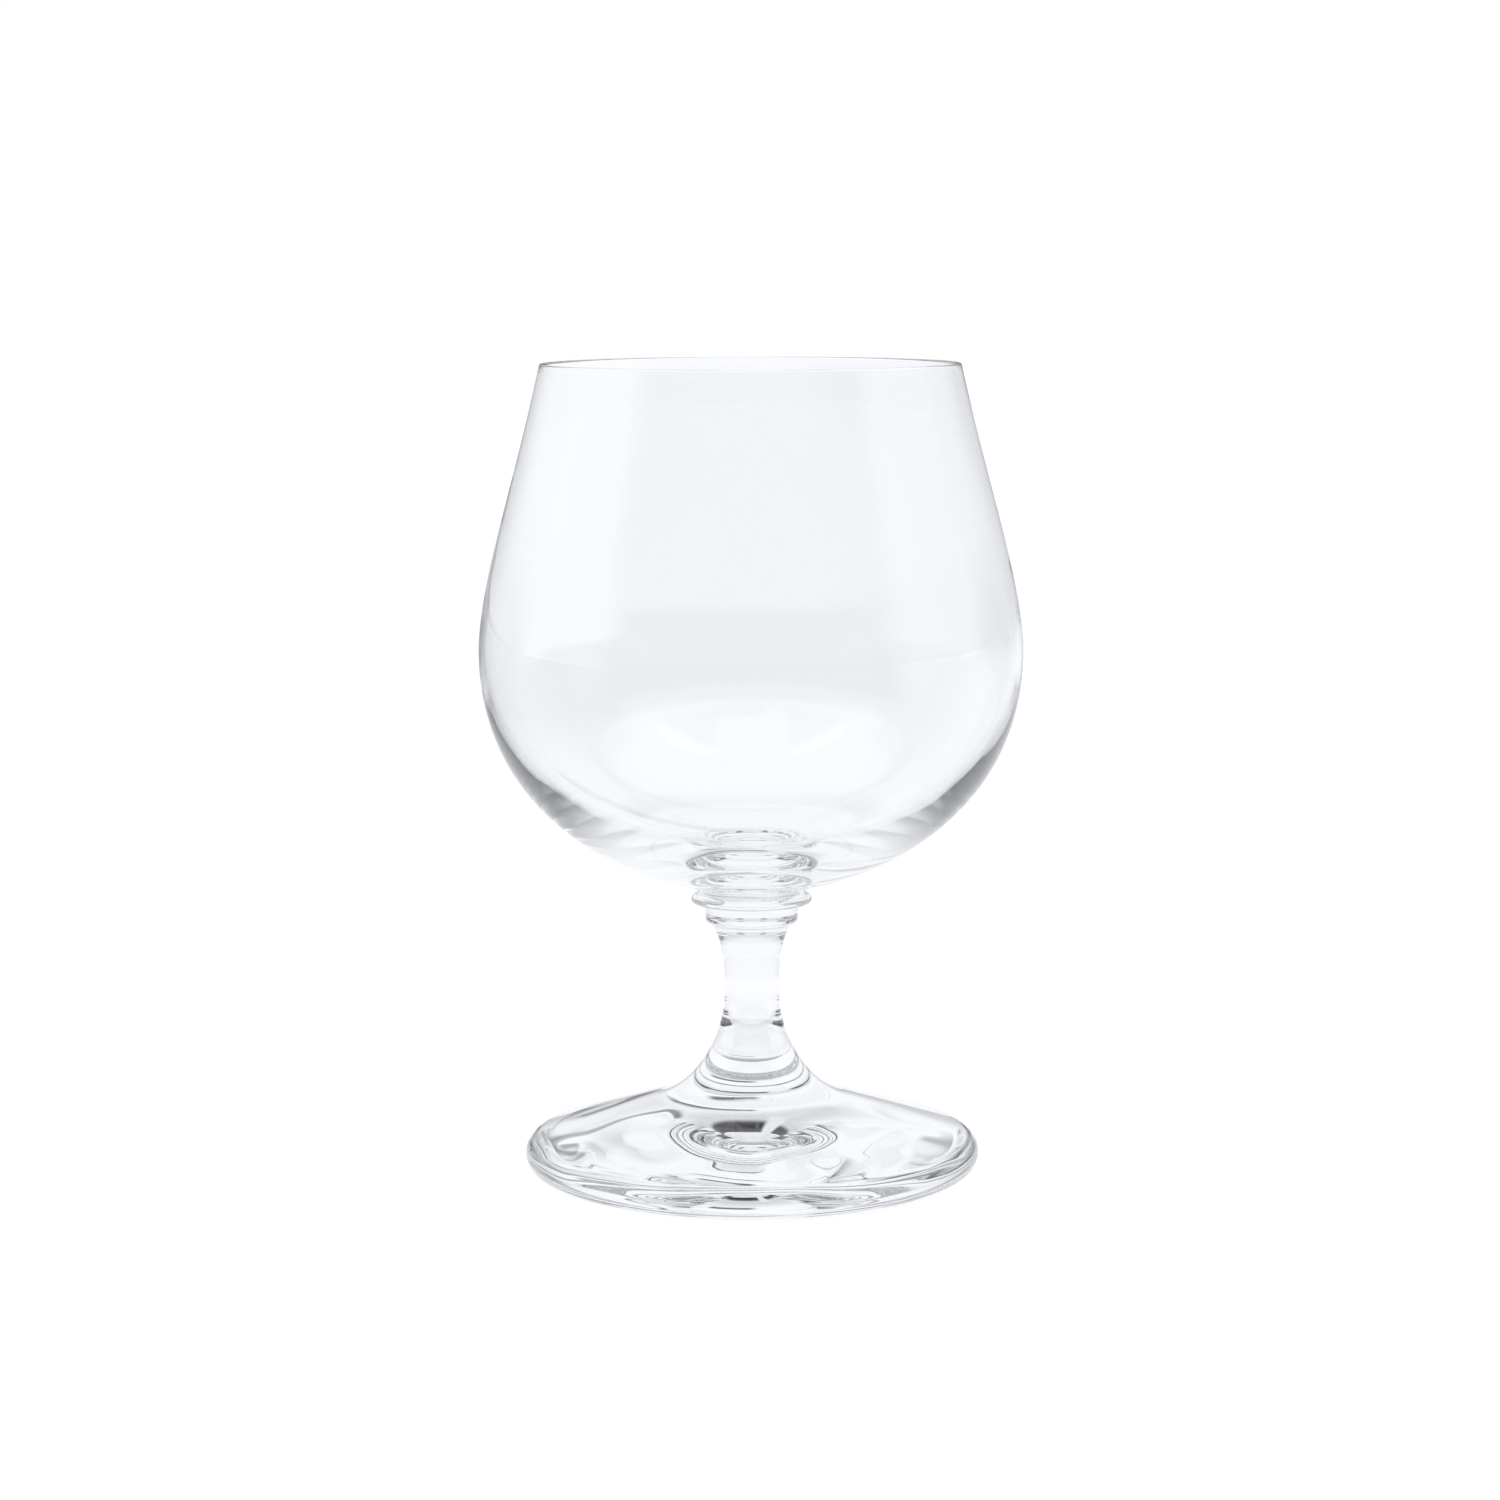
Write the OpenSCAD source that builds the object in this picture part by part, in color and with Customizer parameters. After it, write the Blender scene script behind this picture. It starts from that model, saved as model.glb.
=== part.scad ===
// Whisky glass: a clear glass bowl on a collar, a short waisted stem and a hollow foot, fused on flat joints.
// Millimetres, +Z up, origin on the axis at the level of the table.

/* [Foot] */
// Outside diameter of the foot
foot_d = 78; // [66:0.5:90]
// Thickness of the rounded edge
edge_h = 5.9; // [4:0.1:8]
// Slope of the conical top, in degrees
foot_slope = 17.7; // [12:0.1:22]
// Diameter at which the cone turns up towards the stem
boss_d = 33.4; // [28:0.2:42]
// Rise from the end of the cone to the joint with the stem
boss_h = 3.2; // [2:0.1:6]
// Width of the flat ring that stands on the table
rest_w = 2; // [1:0.1:6]
// Depth of the hollow under the middle
hollow_h = 3.8; // [2:0.1:9]

/* [Stem] */
// Height of the stem
stem_h = 30.8; // [25:0.1:60]
// Diameter of the joint between the foot and the stem
joint_d = 22.6; // [18:0.2:26]
// Slope of the flare at that joint, in degrees
joint_slope = 42; // [30:1:60]
// Diameter of the waist
waist_d = 9.3; // [7:0.1:13]
// Height of the waist above the joint
waist_h = 15.4; // [12:0.1:18]
// Diameter of the band at the top
neck_d = 15.8; // [13:0.1:18]
// Height of that band
neck_h = 3.5; // [1.6:0.1:4.5]
// Radius of that band's lower edge
bead_r = 0.6; // [0.3:0.05:0.8]
// Width of the shelf under that band, which is square to the stem
shelf_w = 0.45; // [0.2:0.05:0.8]
// Lean of the stem where it meets that shelf, in degrees
neck_lean = 31; // [15:1:45]

/* [Collar] */
// Diameter of the collar
collar_d = 20.7; // [18:0.1:26]
// Height of the collar
collar_h = 1.6; // [1.2:0.1:5]
// Radius of the collar's lower edge
collar_round = 0.55; // [0.3:0.05:0.8]

/* [Bowl] */
// Diameter of the joint between the collar and the bowl
seat_d = 16.9; // [15:0.1:17.6]
// Diameter at which the fillet from that joint ends
root_d = 20.9; // [18.6:0.1:24]
// Height of that fillet
root_h = 1.3; // [0.8:0.1:2]
// Slope of the conical base, in degrees
base_slope = 16; // [8:1:20]
// Diameter at which the cone turns up into the belly
base_d = 28; // [25:0.5:32]
// Thickness of the base in the middle
base_t = 5; // [4.6:0.1:12]
// Height of the bowl
bowl_h = 90.2; // [75:0.1:110]
// Largest outside diameter
belly_d = 92.3; // [84:0.1:104]
// Height of the largest diameter above the joint
belly_h = 41.6; // [34:0.1:50]
// Wall at the largest diameter
belly_wall = 1; // [0.8:0.1:2]
// Outside diameter of the lip
mouth_d = 71; // [60:0.1:80]
// Wall at the lip
lip_wall = 0.8; // [0.7:0.1:2]
// Inward lean of the wall at the lip, in degrees
lip_lean = 12.2; // [6:0.1:18]

/* [Hidden] */
$fn = 180;

// Steps in each curve of an outline
steps = 24;
// A curve's handle as a share of its span, at a quarter of an ellipse
round_share = 0.55;
// Handles of the inner base, long at the wall and short on the floor
inner_share = 0.655;
floor_share = 0.505;
// Handles of the upper wall, tight at the belly and long at the lip
shoulder_share = 0.23;
lip_share = 0.4;
// Handles of the stem at its waist and at its ends
waist_share = 0.39;
flare_share = 0.33;
// Handles of the fillet between the foot's cone and its joint
boss_share = 0.55;

glass = [0.86, 0.9, 0.92, 0.45];

edge_r = edge_h / 2;
edge_c = [foot_d / 2 - edge_r, edge_r];
hollow_r = edge_c.x - rest_w;
// Radius of the hollow's spherical roof
roof_r = (hollow_r ^ 2 + hollow_h ^ 2) / (2 * hollow_h);
// Where the cone leaves the edge, and where it ends
cone_low = edge_c + along(90 - foot_slope, edge_r);
cone_top = [boss_d / 2, cone_low.y + (cone_low.x - boss_d / 2) * tan(foot_slope)];

// Levels of the joints
foot_h = cone_top.y + boss_h;
collar_z = foot_h + stem_h;
bowl_z = collar_z + collar_h;

function along(angle, length) = length * [cos(angle), sin(angle)];

// Points of an arc from one angle to another
function arc(centre, radius, from, to) =
    [for (i = [0:steps]) centre + along(from + (to - from) * i / steps, radius)];

// Points of a cubic curve with end points a and d and handle points b and c
function curve(a, b, c, d) =
    [for (i = [0:steps])
        let (t = i / steps, s = 1 - t)
        s ^ 3 * a + 3 * s ^ 2 * t * b + 3 * s * t ^ 2 * c + t ^ 3 * d];

// A run of points without its first, which ends the run before it
function after(points) = [for (i = [1:len(points) - 1]) points[i]];

// The solid that an outline of radius and height sweeps around the axis
module turned(outline, level) {
    color(glass)
        translate([0, 0, level])
            rotate_extrude()
                polygon(outline);
}

module foot() {
    joint = [joint_d / 2, foot_h];
    roof_angle = asin(hollow_r / roof_r);
    roof = arc([0, hollow_h - roof_r], roof_r, 90, 90 - roof_angle);
    edge = arc(edge_c, edge_r, -90, 90 - foot_slope);
    boss_span = cone_top.x - joint.x;
    boss = curve(cone_top, cone_top + along(180 - foot_slope, boss_share * boss_span),
                 joint + along(-joint_slope, boss_share * boss_h / 2), joint);
    turned(concat(roof, edge, boss, [[0, foot_h]]), 0);
}

module stem() {
    joint = [joint_d / 2, 0];
    waist = [waist_d / 2, waist_h];
    bead_c = [neck_d / 2 - bead_r, stem_h - neck_h + bead_r];
    neck = bead_c - [shelf_w, bead_r + shelf_w * tan(neck_lean)];
    rise_h = neck.y - waist.y;
    flare = curve(joint, joint + along(180 - joint_slope, flare_share * waist_h),
                  waist - [0, waist_share * waist_h], waist);
    rise = curve(waist, waist + [0, waist_share * rise_h],
                 neck - along(90 - neck_lean, flare_share * rise_h), neck);
    bead = arc(bead_c, bead_r, -90, 0);
    turned(concat([[0, 0]], flare, after(rise), bead, [[neck_d / 2, stem_h], [0, stem_h]]), foot_h);
}

module collar() {
    bulge_w = (collar_d - seat_d) / 2;
    lower = arc([collar_d / 2 - collar_round, collar_round], collar_round, -90, 0);
    upper = [for (i = [1:steps])
                let (angle = 90 * i / steps)
                [seat_d / 2 + bulge_w * cos(angle), collar_round + (collar_h - collar_round) * sin(angle)]];
    turned(concat([[0, 0]], lower, upper, [[0, collar_h]]), collar_z);
}

module bowl() {
    seat = [seat_d / 2, 0];
    root = [root_d / 2, root_h];
    turn = root + (base_d - root_d) / 2 * [1, tan(base_slope)];
    belly = [belly_d / 2, belly_h];
    lip_r = lip_wall / 2;
    lip_c = [mouth_d / 2 - lip_r, bowl_h - lip_r];
    lip_out = lip_c + along(lip_lean, lip_r);
    lip_in = lip_c - along(lip_lean, lip_r);
    inner_belly = belly - [belly_wall, 0];
    floor = [0, base_t];
    wall_h = bowl_h - belly_h;
    up = along(90 + lip_lean, 1);
    fillet = curve(seat, seat + [0, round_share * root_h],
                   root - along(base_slope, round_share * (root.x - seat.x)), root);
    base = curve(turn, turn + along(base_slope, round_share * (belly.x - turn.x)),
                 belly - [0, round_share * (belly.y - turn.y)], belly);
    wall = curve(belly, belly + [0, shoulder_share * wall_h], lip_out - lip_share * wall_h * up, lip_out);
    lip = arc(lip_c, lip_r, lip_lean, lip_lean + 180);
    inner_wall = curve(lip_in, lip_in - lip_share * wall_h * up,
                       inner_belly + [0, shoulder_share * wall_h], inner_belly);
    inner_base = curve(inner_belly, inner_belly - [0, inner_share * (belly_h - base_t)],
                       floor + [floor_share * inner_belly.x, 0], floor);
    turned(concat([[0, 0]], fillet, base, after(wall), after(lip), after(inner_wall), after(inner_base)),
           bowl_z);
}

foot();
stem();
collar();
bowl();
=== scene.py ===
import math

import bpy
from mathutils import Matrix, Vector, noise


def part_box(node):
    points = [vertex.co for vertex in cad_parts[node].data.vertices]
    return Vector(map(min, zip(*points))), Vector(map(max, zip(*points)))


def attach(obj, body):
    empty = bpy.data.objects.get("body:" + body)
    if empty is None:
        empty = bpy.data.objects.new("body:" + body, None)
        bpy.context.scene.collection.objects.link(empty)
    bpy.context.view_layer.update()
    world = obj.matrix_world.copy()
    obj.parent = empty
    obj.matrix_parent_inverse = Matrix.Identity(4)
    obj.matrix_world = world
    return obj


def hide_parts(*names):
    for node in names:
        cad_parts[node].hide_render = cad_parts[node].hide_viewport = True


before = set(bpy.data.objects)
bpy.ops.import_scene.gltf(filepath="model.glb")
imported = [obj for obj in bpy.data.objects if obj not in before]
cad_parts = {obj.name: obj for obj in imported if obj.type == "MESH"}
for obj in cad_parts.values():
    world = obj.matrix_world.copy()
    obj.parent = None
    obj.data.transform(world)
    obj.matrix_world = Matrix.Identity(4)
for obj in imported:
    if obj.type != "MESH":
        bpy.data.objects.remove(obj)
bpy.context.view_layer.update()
scene = bpy.context.scene

MM = 0.001

# Sizes of the pieces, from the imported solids
FOOT_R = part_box("foot")[1].x
FOOT_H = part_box("foot")[1].z
JOINT_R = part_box("stem")[1].x
COLLAR_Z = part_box("collar")[0].z
COLLAR_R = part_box("collar")[1].x
BOWL_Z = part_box("bowl")[0].z
BELLY_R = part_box("bowl")[1].x
RIM_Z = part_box("bowl")[1].z

# Sizes that the boxes don't show, as in the CAD model
EDGE_R = 5.9 / 2 * MM
FOOT_SLOPE = 17.7
BOSS_R = 33.4 / 2 * MM
REST_W = 2.0 * MM
HOLLOW_H = 3.8 * MM
JOINT_SLOPE = 42
WAIST_R = 9.3 / 2 * MM
WAIST_H = 15.4 * MM
NECK_R = 15.8 / 2 * MM
NECK_H = 3.5 * MM
NECK_LEAN = 31
BEAD_R = 0.6 * MM
SHELF_W = 0.45 * MM
COLLAR_ROUND = 0.55 * MM
SEAT_R = 16.9 / 2 * MM
ROOT_R = 20.9 / 2 * MM
ROOT_H = 1.3 * MM
BASE_SLOPE = 16
BASE_R = 28 / 2 * MM
BASE_T = 5.0 * MM
BELLY_H = 41.6 * MM
BELLY_WALL = 1.0 * MM
MOUTH_R = 71 / 2 * MM
LIP_WALL = 0.8 * MM
LIP_LEAN = 12.2

# Handles of the curves, as shares of their spans
ROUND_SHARE = 0.55
INNER_SHARE = 0.655
FLOOR_SHARE = 0.505
SHOULDER_SHARE = 0.23
LIP_SHARE = 0.4
WAIST_SHARE = 0.39
FLARE_SHARE = 0.33
BOSS_SHARE = 0.55

# Points in each curve, corners around the axis, and the angle from which an edge is sharp
STEPS = 36
SIDES = 256
SHARP_ANGLE = 35

# Lengths below this count as none
TOUCH = 1e-7

# Ripples of the foot: their heights over and under it, their length and their seed
TOP_RIPPLE = 0.05 * MM
UNDER_RIPPLE = 0.65 * MM
RIPPLE_LENGTH = 14 * MM
RIPPLE_SEED = 75.1

# The glass, the waves in its surface, and the smears on it with their largest roughness
IOR = 1.52
WAVE_LENGTH = 14 * MM
WAVE_HEIGHT = 0.06 * MM
WAVE_STRENGTH = 1.0
WAVE_DETAIL = 1.0
SMEAR_LENGTH = 9 * MM
SMEAR_DETAIL = 3.0
SMEAR = 0.004

# Times that light may bounce in the glass, and cross a seam
BOUNCES = 200
SEAM_CROSSINGS = 24

# Camera: focal length in pixels of a 1500-pixel frame, and its place
FRAME_PX = 1500
FOCAL_PX = 3733.5
SENSOR = 36
CAMERA_BACK = 630.3 * MM
CAMERA_UP = 157.7 * MM
CAMERA_PITCH = 7.707
CAMERA_ROLL = 0.14
CAMERA_NEAR = 10 * MM

FLOOR_SIZE = 6.0
FLOOR_DROP = 0.05 * MM

WHITE = (1, 1, 1, 1)
PAINT = (0.9, 0.9, 0.9, 1)
# Light that reaches the glass is a little cool
COOL = (0.965, 0.983, 1.02, 1)

# Levels of the floor, where 1 is white; the table is what the glass mirrors of it
FLOOR_PAINT = 0.15
FLOOR_GLOW = 1.1
SHEET = 0.95
# The contact level is a painted shadow: how dark the floor is to light through the glass in a ring round
# the front of the foot
PAINTED_CONTACT_SHADOW = 0.1
TABLE_SIDE = 0.5

# Levels that light meets once it has crossed the glass
BACKDROP = 0.99
BACKDROP_TOP = 0.7
CARD = 0.1
SIDE_WALL = 0.12
DARK_ROOM = 0.04
CEILING = 0.04

# Levels that the glass mirrors
BACK_GLOSS = 0.35
BACK_GLOSS_TOP = 1.0
SIDE_BOX = 1.5
FRONT_LOW = 0.55
FRONT_HIGH = 0.1

# Levels of the soft boxes in the ceiling and over the camera
TOP_BOX = 0.85
KEY_BOX = 1.0

# Light that crosses more faces of the glass than this has been through the hollow bowl
SOLID_CROSSINGS = 2

# Where the floor's levels change, in metres from the axis: each pair starts and ends a smooth step
# The ring of painted shadow round the foot: its inner edge, its outer edge, and its fade towards the back
CONTACT_IN = (0.0355, 0.0385)
CONTACT_OUT = (0.043, 0.06)
CONTACT_BACK = (0.0, 0.025)
TABLE_FRONT = (0.18, 0.4)
TABLE_LEFT = (0.1, 0.25)
TABLE_FAR = (0.4, 2.5)

# Where the studio's levels change, as parts of a direction of length 1
BACKDROP_TURN = (0.05, 0.8)
BACKDROP_UP = (0.18, 0.54)
CARD_LEFT = (-0.05, 0.03)
CARD_RIGHT = (0.28, 0.36)
CARD_LOW = (0.12, 0.16)
CARD_TOP = (0.22, 0.32)
WALL_UP = (0.18, 0.34)
ROOM_TURN = (0.6, 0.95)
CEILING_UP = (0.58, 0.66)
BACK_GLOSS_UP = (0.05, 0.2)
BOX_TURN = (0.2, 0.5)
FRONT_TURN = (0.3, 0.6)
FRONT_UP = (0.0, 0.12)
FRONT_FADE = (0.14, 0.36)
TOP_BOX_UP = (0.79, 0.84)
TOP_BOX_SIDE = (0.15, 0.25)
WIDE_BOX_UP = (0.62, 0.72)
STRIP_UP = (0.5, 0.58)
STRIP_LEFT = (-0.24, -0.2)
STRIP_RIGHT = (-0.12, -0.08)
KEY_BOX_UP = (0.46, 0.56)
KEY_BOX_TOP = (0.7, 0.78)
KEY_BOX_TURN = (0.1, 0.4)


def along(angle, length):
    a = math.radians(angle)
    return Vector((math.cos(a), math.sin(a))) * length


def arc(centre, radius, start, end):
    """Points of an arc in the plane of radius and height, from one angle to another."""
    turn = (end - start) / STEPS
    return [centre + along(start + turn * i, radius) for i in range(STEPS + 1)]


def curve(a, b, c, d):
    """Points of a cubic curve with ends a and d and handles b and c."""
    points = []
    for i in range(STEPS + 1):
        t = i / STEPS
        s = 1 - t
        points.append(a * s**3 + b * (3 * s * s * t) + c * (3 * s * t * t) + d * t**3)
    return points


def foot_outline():
    """The foot's seam with the stem, then its outside down to the table and up into the hollow."""
    joint = Vector((JOINT_R, FOOT_H))
    edge_c = Vector((FOOT_R - EDGE_R, EDGE_R))
    hollow_r = edge_c.x - REST_W
    roof_r = (hollow_r**2 + HOLLOW_H**2) / (2 * HOLLOW_H)
    roof_angle = math.degrees(math.asin(hollow_r / roof_r))
    cone_low = edge_c + along(90 - FOOT_SLOPE, EDGE_R)
    cone_rise = (cone_low.x - BOSS_R) * math.tan(math.radians(FOOT_SLOPE))
    cone_top = Vector((BOSS_R, cone_low.y + cone_rise))
    boss_pull = BOSS_SHARE * (cone_top.x - joint.x)
    joint_pull = BOSS_SHARE * (FOOT_H - cone_top.y) / 2
    boss = curve(joint, joint + along(-JOINT_SLOPE, joint_pull),
                 cone_top + along(180 - FOOT_SLOPE, boss_pull), cone_top)
    cone = [cone_top.lerp(cone_low, i / STEPS) for i in range(1, STEPS)]
    edge = arc(edge_c, EDGE_R, 90 - FOOT_SLOPE, -90)
    roof = arc(Vector((0, HOLLOW_H - roof_r)), roof_r, 90 - roof_angle, 90)
    return [Vector((0, FOOT_H))] + boss + cone + edge + roof


def stem_outline():
    """The stem from the middle of its top seam, down its outside, to the middle of its lower seam."""
    joint = Vector((JOINT_R, FOOT_H))
    waist = Vector((WAIST_R, FOOT_H + WAIST_H))
    bead_c = Vector((NECK_R - BEAD_R, COLLAR_Z - NECK_H + BEAD_R))
    neck = bead_c - Vector((SHELF_W, BEAD_R + SHELF_W * math.tan(math.radians(NECK_LEAN))))
    rise_h = neck.y - waist.y
    bead = arc(bead_c, BEAD_R, 0, -90)
    rise = curve(neck, neck - along(90 - NECK_LEAN, FLARE_SHARE * rise_h),
                 waist + Vector((0, WAIST_SHARE * rise_h)), waist)
    flare = curve(waist, waist - Vector((0, WAIST_SHARE * WAIST_H)),
                  joint + along(180 - JOINT_SLOPE, FLARE_SHARE * WAIST_H), joint)
    top = [Vector((0, COLLAR_Z)), Vector((NECK_R, COLLAR_Z))]
    return top + bead + rise + flare[1:] + [Vector((0, FOOT_H))]


def collar_outline():
    """The collar from the middle of its top seam, round its bulging edge, to the lower seam's middle."""
    centre = Vector((COLLAR_R - COLLAR_ROUND, COLLAR_Z + COLLAR_ROUND))
    bulge_w = COLLAR_R - SEAT_R
    bulge_h = BOWL_Z - centre.y
    upper = []
    for i in range(STEPS):
        a = math.radians(90 - 90 * i / STEPS)
        upper.append(Vector((SEAT_R + bulge_w * math.cos(a), centre.y + bulge_h * math.sin(a))))
    lower = arc(centre, COLLAR_ROUND, 0, -90)
    return [Vector((0, BOWL_Z))] + upper + lower + [Vector((NECK_R, COLLAR_Z)), Vector((0, COLLAR_Z))]


def bowl_outline():
    """The bowl from the middle of its inner floor, up the inside, over the lip and down to the seam."""
    seat = Vector((SEAT_R, BOWL_Z))
    root = Vector((ROOT_R, BOWL_Z + ROOT_H))
    turn = root + Vector((1, math.tan(math.radians(BASE_SLOPE)))) * (BASE_R - ROOT_R)
    belly = Vector((BELLY_R, BOWL_Z + BELLY_H))
    inner_belly = belly - Vector((BELLY_WALL, 0))
    lip_r = LIP_WALL / 2
    lip_c = Vector((MOUTH_R - lip_r, RIM_Z - lip_r))
    lip_out = lip_c + along(LIP_LEAN, lip_r)
    lip_in = lip_c - along(LIP_LEAN, lip_r)
    wall_h = RIM_Z - belly.y
    up = along(90 + LIP_LEAN, LIP_SHARE * wall_h)
    shoulder = Vector((0, SHOULDER_SHARE * wall_h))
    floor = Vector((0, BOWL_Z + BASE_T))
    inner_base = curve(floor, floor + Vector((FLOOR_SHARE * inner_belly.x, 0)),
                       inner_belly - Vector((0, INNER_SHARE * (BELLY_H - BASE_T))), inner_belly)
    inner_wall = curve(inner_belly, inner_belly + shoulder, lip_in - up, lip_in)
    lip = arc(lip_c, lip_r, LIP_LEAN + 180, LIP_LEAN)
    wall = curve(lip_out, lip_out - up, belly + shoulder, belly)
    base = curve(belly, belly - Vector((0, ROUND_SHARE * (belly.y - turn.y))),
                 turn + along(BASE_SLOPE, ROUND_SHARE * (belly.x - turn.x)), turn)
    fillet = curve(root, root - along(BASE_SLOPE, ROUND_SHARE * (ROOT_R - SEAT_R)),
                   seat + Vector((0, ROUND_SHARE * ROOT_H)), seat)
    inside = inner_base + inner_wall[1:]
    return inside + lip[1:] + wall[1:] + base[1:] + fillet + [Vector((0, BOWL_Z))]


def on_seam(a, b, seams):
    """Whether the step from a to b lies flat on a seam's level and within its radius."""
    return any(abs(a.y - z) + abs(b.y - z) < TOUCH and max(a.x, b.x) < r + TOUCH for z, r in seams)


def turned(name, outline, seams):
    """A closed mesh swept round the axis. Faces on a seam take slot 1."""
    verts = []
    rows = []
    for p in outline:
        if p.x < TOUCH:
            rows.append([len(verts)] * SIDES)
            verts.append((0, 0, p.y))
            continue
        rows.append(range(len(verts), len(verts) + SIDES))
        for k in range(SIDES):
            a = 2 * math.pi * k / SIDES
            verts.append((p.x * math.cos(a), p.x * math.sin(a), p.y))
    faces = []
    slots = []
    for i in range(len(outline) - 1):
        slot = 1 if on_seam(outline[i], outline[i + 1], seams) else 0
        for k in range(SIDES):
            n = (k + 1) % SIDES
            corners = [rows[i][k], rows[i + 1][k], rows[i + 1][n], rows[i][n]]
            faces.append(list(dict.fromkeys(corners)))
            slots.append(slot)
    mesh = bpy.data.meshes.new(name)
    mesh.from_pydata(verts, [], faces)
    mesh.polygons.foreach_set("material_index", slots)
    mesh.shade_smooth()
    mesh.set_sharp_from_angle(angle=math.radians(SHARP_ANGLE))
    mesh.validate()
    piece = bpy.data.objects.new(name, mesh)
    scene.collection.objects.link(piece)
    return piece


def ripple_foot(mesh):
    """Uneven pressed glass: the cone and the roof of the hollow ripple, and fade out where they end."""
    rest_r = FOOT_R - EDGE_R - REST_W
    for v in mesh.vertices:
        r = math.hypot(v.co.x, v.co.y)
        under = v.co.z < HOLLOW_H + TOUCH and r < rest_r
        inner_r = 0 if under else BOSS_R
        if r > rest_r or r < inner_r:
            continue
        share = (r - inner_r) / (rest_r - inner_r)
        fade = 1 - share**4 if under else 4 * share * (1 - share)
        height = UNDER_RIPPLE if under else TOP_RIPPLE
        spot = Vector((v.co.x / RIPPLE_LENGTH, v.co.y / RIPPLE_LENGTH, RIPPLE_SEED * (1 + under)))
        v.co.z += height * fade * noise.noise(spot)


def feed(tree, socket, value):
    """Link a socket to another node's output, or set it to a value."""
    if isinstance(value, bpy.types.NodeSocket):
        tree.links.new(value, socket)
    else:
        socket.default_value = value


def maths(tree, operation, *values):
    node = tree.nodes.new("ShaderNodeMath")
    node.operation = operation
    for socket, value in zip(node.inputs, values):
        feed(tree, socket, value)
    return node.outputs[0]


def product(tree, a, b):
    return maths(tree, "MULTIPLY", a, b)


def smooth_step(tree, value, low, high):
    """0 below low, 1 above high, and an easy rise between them."""
    node = tree.nodes.new("ShaderNodeMapRange")
    node.interpolation_type = "SMOOTHSTEP"
    for name, v in (("Value", value), ("From Min", low), ("From Max", high)):
        feed(tree, node.inputs[name], v)
    return node.outputs["Result"]


def between(tree, value, rise, fall):
    """1 between a rise and a fall, and 0 outside them."""
    return maths(tree, "SUBTRACT", smooth_step(tree, value, *rise), smooth_step(tree, value, *fall))


def blended(tree, share, a, b):
    """a where the share is 0 and b where it is 1."""
    node = tree.nodes.new("ShaderNodeMix")
    for socket, value in zip(node.inputs, (share, None, a, b)):
        if value is not None:
            feed(tree, socket, value)
    return node.outputs[0]


def noise_map(tree, scale, detail):
    """Noise from 0 to 1 in the object's own metres."""
    node = tree.nodes.new("ShaderNodeTexNoise")
    node.inputs["Scale"].default_value = scale
    node.inputs["Detail"].default_value = detail
    tree.links.new(tree.nodes.new("ShaderNodeTexCoord").outputs["Object"], node.inputs["Vector"])
    return node.outputs["Fac"]


def glass_material():
    """Clear glass with the slow waves of blown glass and a trace of smears."""
    mat = bpy.data.materials.new("polished_glass")
    mat.use_nodes = True
    tree = mat.node_tree
    shader = tree.nodes["Principled BSDF"]
    waves = tree.nodes.new("ShaderNodeBump")
    waves.inputs["Strength"].default_value = WAVE_STRENGTH
    waves.inputs["Distance"].default_value = WAVE_HEIGHT
    tree.links.new(noise_map(tree, 1 / WAVE_LENGTH, WAVE_DETAIL), waves.inputs["Height"])
    tree.links.new(waves.outputs["Normal"], shader.inputs["Normal"])
    smears = tree.nodes.new("ShaderNodeMapRange")
    smears.inputs["To Max"].default_value = SMEAR
    tree.links.new(noise_map(tree, 1 / SMEAR_LENGTH, SMEAR_DETAIL), smears.inputs["Value"])
    tree.links.new(smears.outputs["Result"], shader.inputs["Roughness"])
    shader.inputs["Base Color"].default_value = WHITE
    shader.inputs["Transmission Weight"].default_value = 1.0
    shader.inputs["IOR"].default_value = IOR
    return mat


def seam_material():
    """A fused seam inside the glass, which light crosses unbent."""
    mat = bpy.data.materials.new("fused_seam")
    mat.use_nodes = True
    nodes = mat.node_tree.nodes
    nodes.remove(nodes["Principled BSDF"])
    clear = nodes.new("ShaderNodeBsdfTransparent")
    mat.node_tree.links.new(clear.outputs[0], nodes["Material Output"].inputs["Surface"])
    return mat


def add_pieces():
    glass = glass_material()
    seam = seam_material()
    foot_seam = (FOOT_H, JOINT_R)
    neck_seam = (COLLAR_Z, NECK_R)
    bowl_seam = (BOWL_Z, SEAT_R)
    made = [
        ("foot", foot_outline(), [foot_seam]),
        ("stem", stem_outline(), [foot_seam, neck_seam]),
        ("collar", collar_outline(), [neck_seam, bowl_seam]),
        ("bowl", bowl_outline(), [bowl_seam]),
    ]
    for node, outline, seams in made:
        piece = turned("glass_" + node, outline, seams)
        if node == "foot":
            ripple_foot(piece.data)
        piece.data.materials.append(glass)
        piece.data.materials.append(seam)
        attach(piece, "root")
        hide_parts(node)


def add_camera():
    data = bpy.data.cameras.new("camera")
    data.sensor_width = SENSOR
    data.lens = SENSOR * FOCAL_PX / FRAME_PX
    data.clip_start = CAMERA_NEAR
    cam = bpy.data.objects.new("camera", data)
    cam.location = (0, -CAMERA_BACK, CAMERA_UP)
    cam.rotation_euler = (math.radians(90 - CAMERA_PITCH), math.radians(CAMERA_ROLL), 0)
    scene.collection.objects.link(cam)
    scene.camera = cam


def heading(tree, vector):
    """A vector's x, y and z, its level length, and how far it points ahead and behind, from -1 to 1."""
    split = tree.nodes.new("ShaderNodeSeparateXYZ")
    tree.links.new(vector, split.inputs[0])
    x, y, z = split.outputs
    reach = maths(tree, "SQRT", maths(tree, "ADD", product(tree, x, x), product(tree, y, y)))
    ahead = maths(tree, "DIVIDE", y, reach)
    return x, y, z, reach, ahead, product(tree, ahead, -1.0)


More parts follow.
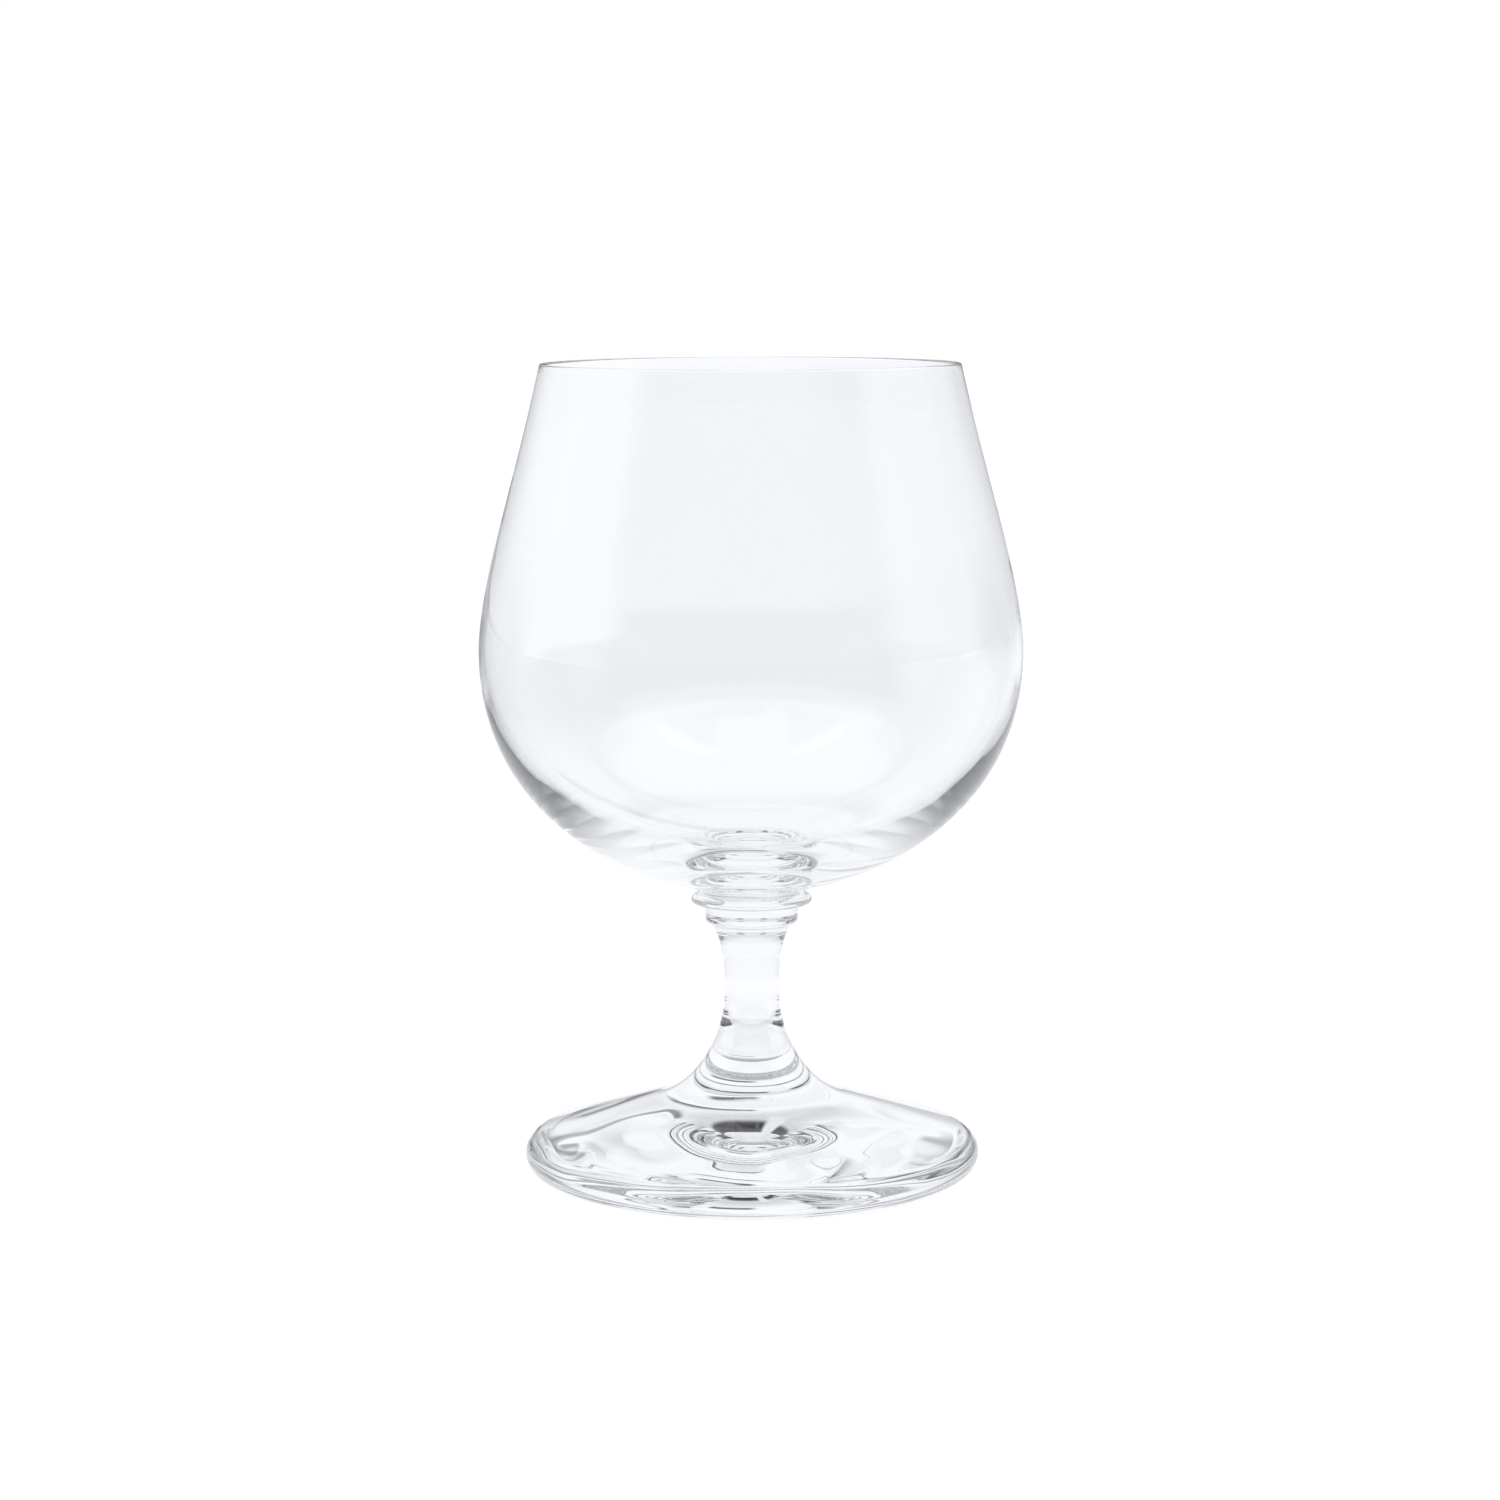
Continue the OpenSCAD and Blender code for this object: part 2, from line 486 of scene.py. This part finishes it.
def unless_straight(tree, path, clear, level):
    """The clear level for rays that cross the glass unmirrored, so that it is clear from every side."""
    return blended(tree, maths(tree, "MINIMUM", path["Glossy Depth"], 1.0), clear, level)


def tint(tree, path):
    """White to the camera and a little cool to the glass."""
    node = tree.nodes.new("ShaderNodeMix")
    node.data_type = "RGBA"
    tree.links.new(path["Is Camera Ray"], node.inputs["Factor"])
    # The mix node keeps its colour sockets after those for numbers and vectors
    node.inputs[6].default_value = COOL
    node.inputs[7].default_value = WHITE
    return node.outputs[2]


def sheet_level(tree, path):
    """The floor to the glass: white, dark in front, paler grey on the left and far behind where it is
    mirrored, and with a painted contact shadow round the front of the foot, seen only through the glass."""
    place = tree.nodes.new("ShaderNodeNewGeometry").outputs["Position"]
    x, y, _, reach, ahead, behind = heading(tree, place)
    crossed = path["Is Transmission Ray"]
    front = product(tree, smooth_step(tree, behind, *FRONT_TURN), smooth_step(tree, reach, *TABLE_FRONT))
    far = product(tree, smooth_step(tree, reach, *TABLE_FAR), smooth_step(tree, ahead, *BOX_TURN))
    far = blended(tree, crossed, far, 0.0)
    left = smooth_step(tree, product(tree, x, -1.0), *TABLE_LEFT)
    table = blended(tree, left, blended(tree, far, 1.0, BACK_GLOSS), TABLE_SIDE)
    sheet = unless_straight(tree, path, BACKDROP, blended(tree, front, table, DARK_ROOM))
    # Painted shadow: the floor's level drops to the contact level in a ring in front of the foot, for light
    # through the glass
    shadow_ring = blended(tree, smooth_step(tree, y, *CONTACT_BACK), PAINTED_CONTACT_SHADOW, BACKDROP)
    shadow_ring = blended(tree, smooth_step(tree, reach, *CONTACT_IN), BACKDROP, shadow_ring)
    shadow_ring = blended(tree, crossed, 1.0, shadow_ring)
    return product(tree, blended(tree, smooth_step(tree, reach, *CONTACT_OUT), shadow_ring, sheet), SHEET)


def floor_material():
    """White to the camera, a lit sheet with a painted contact shadow to the glass, and painted to take a
    real shadow.
    """
    mat = bpy.data.materials.new("floor_white")
    mat.use_nodes = True
    tree = mat.node_tree
    tree.nodes.remove(tree.nodes["Principled BSDF"])
    path = tree.nodes.new("ShaderNodeLightPath").outputs
    level = blended(tree, path["Is Camera Ray"], sheet_level(tree, path), 1.0)
    paint = tree.nodes.new("ShaderNodeBsdfDiffuse")
    paint.inputs["Color"].default_value = PAINT
    glow = tree.nodes.new("ShaderNodeEmission")
    feed(tree, glow.inputs["Strength"], product(tree, level, FLOOR_GLOW))
    feed(tree, glow.inputs["Color"], tint(tree, path))
    mix = tree.nodes.new("ShaderNodeMixShader")
    mix.inputs[0].default_value = 1 - FLOOR_PAINT
    tree.links.new(paint.outputs[0], mix.inputs[1])
    tree.links.new(glow.outputs[0], mix.inputs[2])
    tree.links.new(mix.outputs[0], tree.nodes["Material Output"].inputs["Surface"])
    return mat


def add_floor():
    half = FLOOR_SIZE / 2
    corners = [(x * half, y * half, -FLOOR_DROP) for x, y in ((-1, -1), (1, -1), (1, 1), (-1, 1))]
    mesh = bpy.data.meshes.new("floor")
    mesh.from_pydata(corners, [], [(0, 1, 2, 3)])
    mesh.materials.append(floor_material())
    floor = bpy.data.objects.new("floor", mesh)
    scene.collection.objects.link(floor)


def mirrored_level(tree, z, ahead, behind):
    """What the glass mirrors: a soft box on each side, a backdrop that pales upward, a dark camera side."""
    front = blended(tree, smooth_step(tree, z, *FRONT_FADE), FRONT_LOW, FRONT_HIGH)
    front = blended(tree, smooth_step(tree, z, *FRONT_UP), DARK_ROOM, front)
    gloss = blended(tree, smooth_step(tree, z, *BACK_GLOSS_UP), BACK_GLOSS, BACK_GLOSS_TOP)
    level = blended(tree, smooth_step(tree, ahead, *BOX_TURN), SIDE_BOX, gloss)
    return blended(tree, smooth_step(tree, behind, *FRONT_TURN), level, front)


def crossed_level(tree, path, x, z, ahead, behind):
    """What light meets once it has crossed the glass: a backdrop with a dark card on it, dark walls,
    a dark room behind the camera and a dark ceiling."""
    rise = blended(tree, smooth_step(tree, z, *BACKDROP_UP), BACKDROP, BACKDROP_TOP)
    card_x = between(tree, x, CARD_LEFT, CARD_RIGHT)
    card_z = between(tree, z, CARD_LOW, CARD_TOP)
    carded = blended(tree, product(tree, card_x, card_z), rise, CARD)
    wall = blended(tree, smooth_step(tree, z, *WALL_UP), SIDE_WALL, DARK_ROOM)
    walls = blended(tree, smooth_step(tree, ahead, *BACKDROP_TURN), wall, carded)
    walls = blended(tree, smooth_step(tree, behind, *ROOM_TURN), walls, DARK_ROOM)
    level = unless_straight(tree, path, rise, walls)
    return blended(tree, smooth_step(tree, z, *CEILING_UP), level, CEILING)


def with_soft_boxes(tree, path, level, x, z, behind):
    """The level with soft boxes: one in the ceiling, which is wide to the hollow bowl, a strip on its left
    and one over the camera."""
    box_side = smooth_step(tree, maths(tree, "ABSOLUTE", x), *TOP_BOX_SIDE)
    top_box = blended(tree, box_side, smooth_step(tree, z, *TOP_BOX_UP), 0.0)
    hollow = maths(tree, "GREATER_THAN", path["Transmission Depth"], SOLID_CROSSINGS)
    wide_box = product(tree, hollow, smooth_step(tree, z, *WIDE_BOX_UP))
    strip = product(tree, between(tree, x, STRIP_LEFT, STRIP_RIGHT), smooth_step(tree, z, *STRIP_UP))
    for box in (top_box, wide_box, strip):
        level = blended(tree, box, level, TOP_BOX)
    key_turn = smooth_step(tree, behind, *KEY_BOX_TURN)
    key_box = product(tree, between(tree, z, KEY_BOX_UP, KEY_BOX_TOP), key_turn)
    return blended(tree, key_box, level, KEY_BOX)


def add_world():
    """White to the camera, and a studio to the glass."""
    world = bpy.data.worlds.new("studio")
    scene.world = world
    world.use_nodes = True
    tree = world.node_tree
    path = tree.nodes.new("ShaderNodeLightPath").outputs
    aim = tree.nodes.new("ShaderNodeTexCoord").outputs["Generated"]
    x, _, z, _, ahead, behind = heading(tree, aim)
    mirrored = mirrored_level(tree, z, ahead, behind)
    crossed = crossed_level(tree, path, x, z, ahead, behind)
    level = blended(tree, path["Is Transmission Ray"], mirrored, crossed)
    level = with_soft_boxes(tree, path, level, x, z, behind)
    level = blended(tree, path["Is Camera Ray"], level, 1.0)
    feed(tree, tree.nodes["Background"].inputs["Strength"], level)
    feed(tree, tree.nodes["Background"].inputs["Color"], tint(tree, path))


add_pieces()
add_camera()
add_floor()
add_world()
scene.view_settings.view_transform = "Standard"
scene.cycles.max_bounces = BOUNCES
scene.cycles.transmission_bounces = BOUNCES
scene.cycles.glossy_bounces = BOUNCES
scene.cycles.transparent_max_bounces = SEAM_CROSSINGS
